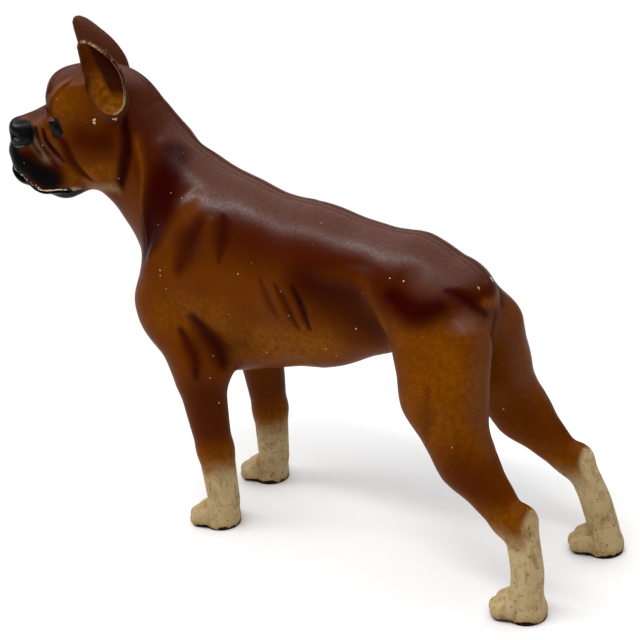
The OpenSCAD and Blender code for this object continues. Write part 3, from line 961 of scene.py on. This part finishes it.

# %% [markdown]
# Handling has worn the paint off the lips and the edges of the paws, three larger chips show on the head
# and tail, hollows get painted shade, and the soles are bare iron.

# %% Chips, painted shade and bare iron
worn_legs_z = 60
big_chips = (
    ((-130, 15, 181), (-130, 15, 180)),
    ((-122, 16, 181), (-121, 16, 181)),
    ((51, 5, 124), (52, 5, 123)),
)
masks["wear"] = ridge * np.where(at_z < worn_legs_z, 0.8, 0.3 * on_ear)
for chip in big_chips:
    spray("wear", chip, 0.2, 2, 0.84)
spray("wear", ((-167, 4, 163), (-163, 9, 158), (-157, 12, 155)), 0.4, 2.8, 0.7)
spray("wear", ((-157, 12, 153), (-151, 13, 152), (-146, 13, 151)), 0.3, 1.0, 0.92)
# painted shade in the hollows
at_least("recess", 0.7 * dip * (1 - on_ear))
masks["iron"] = fall(at_z, 0.4, 5)
for name, values in masks.items():
    coat = clay.data.attributes.new(name, "FLOAT", "POINT")
    coat.data.foreach_set("value", values.astype(np.float32))
print("mean cover:", mean_cover("wear", "recess", "iron"))

# %% [markdown]
# ## Two castings
# The joint face of the half is closed and divided across the neck, so that it can follow the bend.
# Faces of the skin that happen to lie flat in the joint are deleted first, because the fill would
# cover them twice. The real castings are hollow, but that never shows in the assembled doorstop.

# %% Close the joint
bend_start, bend_radius, head_turn = -96.0, 40.0, math.radians(40)
strip, in_joint = 4, 1e-5

alone(clay)
clay.data.polygons.foreach_set("select", face_centres(clay.data)[:, 1] < in_joint)
bpy.ops.object.mode_set(mode="EDIT")
bpy.ops.mesh.select_mode(type="FACE")
bpy.ops.mesh.delete(type="FACE")
bpy.ops.mesh.select_mode(type="EDGE")
bpy.ops.mesh.select_all(action="DESELECT")
bpy.ops.mesh.select_non_manifold(extend=False, use_wire=False, use_multi_face=False,
                                 use_non_contiguous=False, use_verts=False)
bpy.ops.mesh.fill(use_beauty=False)
bend_end = bend_start - bend_radius * head_turn
for x in np.arange(bend_start, bend_end - strip, -strip):
    bpy.ops.object.mode_set(mode="OBJECT")
    clay.data.polygons.foreach_set("select", np.abs(face_centres(clay.data)[:, 1]) < in_joint)
    bpy.ops.object.mode_set(mode="EDIT")
    bpy.ops.mesh.select_mode(type="FACE")
    bpy.ops.mesh.bisect(plane_co=(x, 0, 0), plane_no=(1, 0, 0))
bpy.ops.object.mode_set(mode="OBJECT")
points = points_of(clay.data)
print("closed half:", len(clay.data.polygons), "faces")

# %% [markdown]
# The half is now turned into the two castings: the feet step apart, and the neck turns the head to the
# dog's left. The ears are stiff, and keep their shape as they go with the head. An armature could pose
# them, but a formula bends the joint face of both halves in exactly the same way. Values with -1 are
# for the left half, and with 1 for the right one.

# %% Pose the two halves
front_stagger, hind_stagger, stride_top = 5.6, 5.0, 62.0
turn_low, turn_high = 100.0, 136.0
box_middle = np.array([-31.76, -2.07, 0.0])
calf_ahead = {-1: 0.0, 1: 2.6}
pastern_back = {-1: 2.0, 1: 0.0}
ear_stiffness = {-1: 1.0, 1: 0.5}
ear_lean = {-1: (1.2, -2.0), 1: (-1.7, 0.6)}


def turned_neck(x, y, most, least=0.0):
    ahead = bend_start - x
    bent = np.clip(ahead, least, most)
    angle = bent / bend_radius
    beyond = ahead - bent
    radius = bend_radius + y
    return (bend_start - radius * np.sin(angle) - beyond * np.cos(angle),
            -bend_radius + radius * np.cos(angle) - beyond * np.sin(angle))


def posed(p, side):
    x, y, z = p[:, 0], p[:, 1] * side, p[:, 2]
    ear_share = fall(gap(p, ear), 1, 7)
    tip = ear_share * rise(z, 190, 215)
    x = x + tip * ear_lean[side][0]
    z = z + tip * ear_lean[side][1]
    low = fall(z, 0, stride_top)
    x = x + side * np.where(x < 0, -front_stagger, hind_stagger) / 2 * low
    calf = rise(z, 22, 42) * fall(z, 72, 106) * (x > 0)
    pastern = rise(z, 8, 22) * fall(z, 46, 62) * (x > 0)
    x = x - calf_ahead[side] * calf + pastern_back[side] * pastern
    whole = bend_radius * head_turn
    soft_x, soft_y = turned_neck(x, y, whole)
    turn_share = rise(z, turn_low, turn_high)
    soft_x = x + turn_share * (soft_x - x)
    soft_y = y + turn_share * (soft_y - y)
    stiff_x, stiff_y = turned_neck(x, y, whole, whole)
    stiff = ear_stiffness[side] * ear_share
    x = soft_x + stiff * (stiff_x - soft_x)
    y = soft_y + stiff * (stiff_y - soft_y)
    return np.stack([x, y, z], 1) - box_middle


def half(name, side, node):
    alone(clay)
    bpy.ops.object.duplicate()
    piece = bpy.context.object
    piece.name = name
    place = posed(points, side)
    piece.data.vertices.foreach_set("co", (place * MM).ravel())
    if side < 0:
        piece.data.flip_normals()
    piece.data.update()
    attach(piece, "root")
    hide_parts(node)
    print(name, "in mm:", [round(float(size), 1) for size in np.ptp(place, axis=0)])
    return piece


left_casting = half("left_casting", -1, "left_half")
right_casting = half("right_casting", 1, "right_half")
bpy.data.objects.remove(clay)

# %% [markdown]
# Two screws hold the castings together. The right one is drilled through, with a wider counterbore for
# each screw's head, and the left one has a blind hole for each thread. A Boolean with a cylinder is
# the drill. Shading comes after it, so that the edges of the holes stay sharp.

# %% Drill the screw holes
joint_y = -box_middle[1]
thread_hole, thread_hole_depth = 4.3, 11.4
clearance_hole, head_hole, outside_y = 5.0, 8.8, 60.0
overcut, drill_sides = 1, 48
sharp_edge = math.radians(65)
# Each screw has x and z on the straight dog, and the distance of its head's seat from the joint
screws = ((-68, 108, 19), (24, 115, 10))


def drill(piece, x, z, diameter, start, end):
    bpy.ops.object.select_all(action="DESELECT")
    middle = ((x - box_middle[0]) * MM, (start + end) / 2 * MM, z * MM)
    bpy.ops.mesh.primitive_cylinder_add(vertices=drill_sides, radius=diameter / 2 * MM,
                                        depth=(end - start) * MM, location=middle,
                                        rotation=(math.pi / 2, 0, 0))
    tool = bpy.context.object
    bpy.ops.object.transform_apply()
    take_away(piece, tool)


for x, z, seat in screws:
    drill(left_casting, x, z, thread_hole, joint_y - thread_hole_depth, joint_y + overcut)
    drill(right_casting, x, z, clearance_hole, joint_y - overcut, joint_y + seat + overcut)
    drill(right_casting, x, z, head_hole, joint_y + seat, outside_y)
for piece in (left_casting, right_casting):
    alone(piece)
    bpy.ops.object.shade_smooth_by_angle(angle=sharp_edge)
    triangles = sum(len(face.vertices) - 2 for face in piece.data.polygons)
    print(piece.name, "has", triangles, "triangles")

# %% [markdown]
# ## Enamel over iron
# The enamel is thin, with a pebbled skin from the iron under it. White primer shows in specks and along
# worn edges, and bare, rusty iron shows under the paws. Chips and specks come back several times with
# other sizes, so each is a node group: chips are high spots of a noise that wear adds to, and specks
# are the middles of some cells of a Voronoi pattern.

# %% Shared effects
def new_group(name, **values):
    group = bpy.data.node_groups.new(name, "ShaderNodeTree")
    sockets = group.interface
    sockets.new_socket("Vector", in_out="INPUT", socket_type="NodeSocketVector")
    for socket, value in values.items():
        sockets.new_socket(socket, in_out="INPUT", socket_type="NodeSocketFloat").default_value = value
    sockets.new_socket("Mask", in_out="OUTPUT", socket_type="NodeSocketFloat")
    n = Nodes(group)
    return group, n, n.add("NodeGroupInput").outputs, n.add("NodeGroupOutput").inputs


chips, n, given, result = new_group("paint_chips", Amount=0.0, Scale=600.0)
grain = n.noise(given["Vector"], given["Scale"], 5, 0.7)
n.put(result["Mask"], n.step(n.plus(grain, given["Amount"]), 0.98, 1.04))

specks, n, given, result = new_group("primer_specks", Scale=200.0, Share=0.1)
cells = n.add("ShaderNodeTexVoronoi")
n.put(cells.inputs["Vector"], given["Vector"])
n.put(cells.inputs["Scale"], given["Scale"])
lot = n.add("ShaderNodeSeparateColor")
n.put(lot.inputs["Color"], cells.outputs["Color"])
chosen = n.math("LESS_THAN", lot.outputs["Red"], given["Share"])
dot = n.math("LESS_THAN", cells.outputs["Distance"], n.times(lot.outputs["Green"], 0.11))
n.put(result["Mask"], n.times(chosen, dot))


def use_group(n, group, **values):
    node = n.add("ShaderNodeGroup", node_tree=group)
    for name, value in values.items():
        n.put(node.inputs[name], value)
    return node.outputs[0]


print("node groups:", chips.name, "and", specks.name)

# %% [markdown]
# The paint itself is built in the order of the real coats. First come the sprayed browns, then the
# cream, which is old and stained, with streaks and pits.

# %% Browns and cream
def srgb(red, green, blue):
    return tuple((c / 255 / 12.92 if c <= 10 else ((c / 255 + 0.055) / 1.055) ** 2.4)
                 for c in (red, green, blue)) + (1.0,)


def sprayed_enamel(n, place, coat, mottle, fine_mottle, drift, recess):
    colour = n.mix(mottle, srgb(86, 37, 0), srgb(108, 52, 1))
    gold = n.plus(coat["gold"], drift, True)
    colour = n.mix(gold, colour, n.mix(n.step(fine_mottle, 0.3, 0.7), srgb(118, 62, 1), srgb(154, 92, 6)))
    dark = n.step(n.plus(coat["dark"], drift), -0.05, 1.05)
    colour = n.mix(dark, colour, srgb(66, 20, 2))
    # chalk with a painted sheen: a mauve grey on the faces that look up to the overhead light
    chalk = n.times(coat["chalk"], n.step(fine_mottle, -0.4, 0.7))
    colour = n.mix(n.times(chalk, 0.36), colour, srgb(94, 62, 50))
    # painted shade in the folds and hollows, which is also the maroon of the mask
    colour = n.mix(recess, colour, srgb(44, 2, 0))
    soot = use_group(n, specks, Vector=place, Scale=280.0, Share=0.3)
    colour = n.mix(n.times(soot, 0.6), colour, srgb(46, 14, 0))
    return colour


def old_white(n, place, coat, mottle, recess):
    colour = n.mix(mottle, srgb(162, 138, 96), srgb(202, 180, 136))
    stain = n.step(n.noise(place, 150, 3, 0.6), 0.5, 0.7)
    colour = n.mix(n.times(stain, 0.55), colour, srgb(132, 92, 46))
    tall = n.add("ShaderNodeVectorMath", operation="MULTIPLY")
    n.put(tall.inputs[0], place)
    tall.inputs[1].default_value = (1, 1, 0.22)
    streaks = n.step(n.noise(tall.outputs[0], 340, 3, 0.6), 0.52, 0.72)
    colour = n.mix(n.times(streaks, 0.45), colour, srgb(108, 82, 52))
    # painted shade in the hollows of the cream
    colour = n.mix(n.times(recess, 0.8), colour, srgb(84, 62, 38))
    colour = n.mix(n.times(coat["iron"], 0.5), colour, srgb(150, 104, 52))
    pits = n.step(n.noise(place, 700, 3, 0.6), 0.6, 0.68)
    colour = n.mix(n.times(pits, 0.7), colour, srgb(58, 38, 22))
    return colour


print("first ochre as a linear colour:", [round(c, 3) for c in srgb(86, 37, 0)])

# %% [markdown]
# Black, primer, rust and bare iron lie over the browns and the cream. The gloss is a clear coat that is
# kept only where its mask says, broken up by a fine grain, and the paint under it hardly shines. The
# skin of the casting is a bump: pebbles, coarser sand, and steps down where paint has flaked off.

# %% Painted iron
coat_roughness, under_shine, bump_strength = 0.3, 0.02, 0.8


def cast_skin(n, place, lost_paint):
    pebbles = n.times(n.noise(place, 1000, 2, 0.5), 0.11)
    sand = n.times(n.noise(place, 300, 3, 0.55), 0.1)
    flake = n.times(lost_paint, -0.12)
    bump = n.add("ShaderNodeBump")
    bump.inputs["Distance"].default_value = MM
    bump.inputs["Strength"].default_value = bump_strength
    n.put(bump.inputs["Height"], n.plus(n.plus(pebbles, sand), flake))
    return bump.outputs["Normal"]


def painted_iron():
    material, n, shader = new_material("painted_iron")
    place = n.add("ShaderNodeTexCoord").outputs["Object"]
    coat = {name: n.attribute(name) for name in coats}
    mottle = n.noise(place, 60, 4, 0.6)
    fine_mottle = n.noise(place, 420, 3, 0.6)
    drift = n.times(n.math("SUBTRACT", mottle, 0.5), 0.4)

    recess = n.times(coat["recess"], n.step(fine_mottle, -0.3, 0.5), True)
    colour = sprayed_enamel(n, place, coat, mottle, fine_mottle, drift, recess)
    cream = n.step(n.plus(coat["cream"], drift), 0.1, 0.95)
    colour = n.mix(cream, colour, old_white(n, place, coat, mottle, recess))
    black = n.step(n.plus(coat["black"], drift), 0.1, 0.9)
    colour = n.mix(black, colour, srgb(9, 8, 8))

    worn = use_group(n, chips, Vector=place, Amount=n.times(coat["wear"], 0.66), Scale=700.0)
    dots = use_group(n, specks, Vector=place, Scale=330.0, Share=0.16)
    primer = n.math("MAXIMUM", worn, dots)
    colour = n.mix(primer, colour, srgb(226, 206, 170))
    bare = use_group(n, chips, Vector=place, Amount=n.times(coat["iron"], 0.66), Scale=180.0)
    rust = use_group(n, specks, Vector=place, Scale=260.0, Share=n.times(coat["cream"], 0.3))
    colour = n.mix(rust, colour, srgb(72, 44, 22))
    colour = n.mix(bare, colour, n.mix(fine_mottle, srgb(16, 12, 10), srgb(58, 32, 16)))
    n.put(shader.inputs["Base Color"], colour)

    lost_paint = n.math("MAXIMUM", primer, bare)
    rough = n.plus(n.times(fine_mottle, 0.12), 0.3)
    rough = n.plus(rough, n.times(cream, 0.24))
    rough = n.plus(rough, n.times(lost_paint, 0.3))
    n.put(shader.inputs["Roughness"], rough)
    shine = n.plus(n.times(n.step(n.noise(place, 900, 3, 0.6), 0.2, 0.8), 0.9), 0.55)
    n.put(shader.inputs["Coat Weight"], n.times(coat["gloss"], shine))
    shader.inputs["Coat Roughness"].default_value = coat_roughness
    shader.inputs["Specular IOR Level"].default_value = under_shine
    n.put(shader.inputs["Normal"], cast_skin(n, place, lost_paint))
    return material


enamel = painted_iron()
for piece in (left_casting, right_casting):
    piece.data.materials.clear()
    piece.data.materials.append(enamel)
print(enamel.name, "has", len(enamel.node_tree.nodes), "nodes")

# %% [markdown]
# The screws are plain slotted ones, of steel that has gone dull and brown. Their solids are right as
# they are, and only get a new material.

# %% Screw steel
def screw_steel():
    material, n, shader = new_material("screw_steel")
    place = n.add("ShaderNodeTexCoord").outputs["Object"]
    rust = n.step(n.noise(place, 500, 4, 0.6), 0.45, 0.65)
    n.put(shader.inputs["Base Color"], n.mix(rust, srgb(112, 106, 98), srgb(74, 44, 24)))
    n.put(shader.inputs["Metallic"], n.math("SUBTRACT", 1.0, rust))
    n.put(shader.inputs["Roughness"], n.plus(n.times(rust, 0.35), 0.4))
    return material


steel = screw_steel()
for node in ("front_screw", "rear_screw"):
    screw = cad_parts[node]
    for slot in screw.material_slots:
        slot.material = steel

# %% [markdown]
